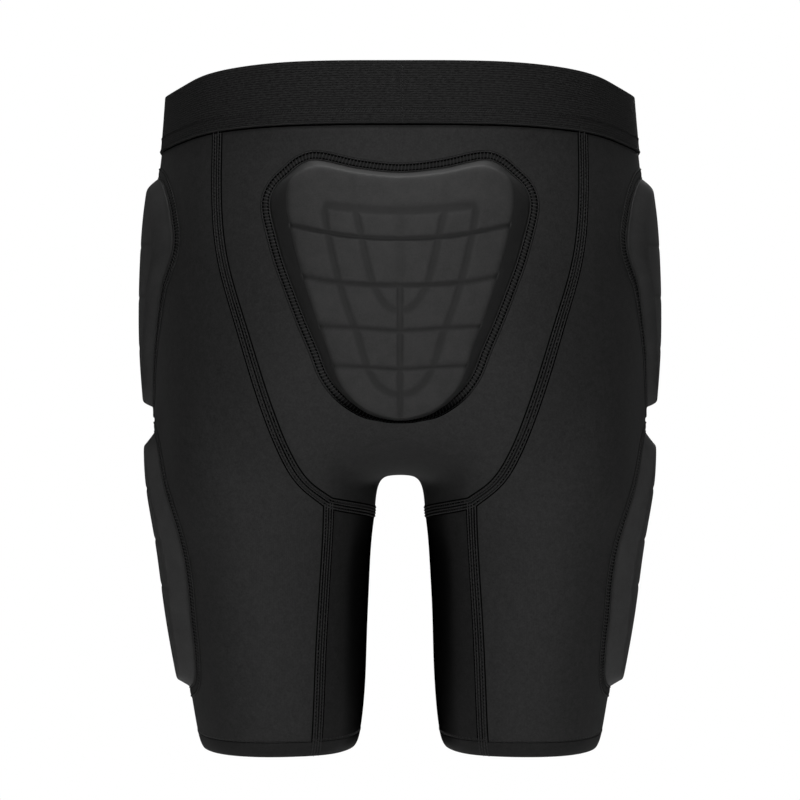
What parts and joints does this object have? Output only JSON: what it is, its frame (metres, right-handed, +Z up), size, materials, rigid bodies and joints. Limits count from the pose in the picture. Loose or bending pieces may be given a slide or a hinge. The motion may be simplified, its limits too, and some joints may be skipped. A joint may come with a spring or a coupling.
{
  "type": "padded hip protection shorts",
  "caption": "Stretch shorts with a wide elastic waistband and moulded foam pads over the tailbone, hips and outer thighs, held open as worn.",
  "frame": {"origin": "middle of the waist opening, half way up the waistband at the side", "axes": "+Z up towards the wearer's head, +Y towards the wearer's front, +X towards the wearer's right"},
  "size_m": [0.3328, 0.2309, 0.4248],
  "materials": {
    "waistband_elastic": "woven elastic, matt black",
    "stretch_knit": "smooth polyester and elastane knit, matt black",
    "pad_foam": "moulded foam with a knit face, matt black"
  },
  "bodies": {
    "root": {"waistband": "waistband_elastic", "back_panel": "stretch_knit", "front_panel": "stretch_knit", "side_panel_left": "stretch_knit", "side_panel_right": "stretch_knit", "inner_thigh_panel_left": "stretch_knit", "inner_thigh_panel_right": "stretch_knit", "hem_left": "stretch_knit", "hem_right": "stretch_knit", "tail_pad": "pad_foam", "hip_pad_left": "pad_foam", "hip_pad_right": "pad_foam", "thigh_pad_left": "pad_foam", "thigh_pad_right": "pad_foam"}
  },
  "joints": []
}
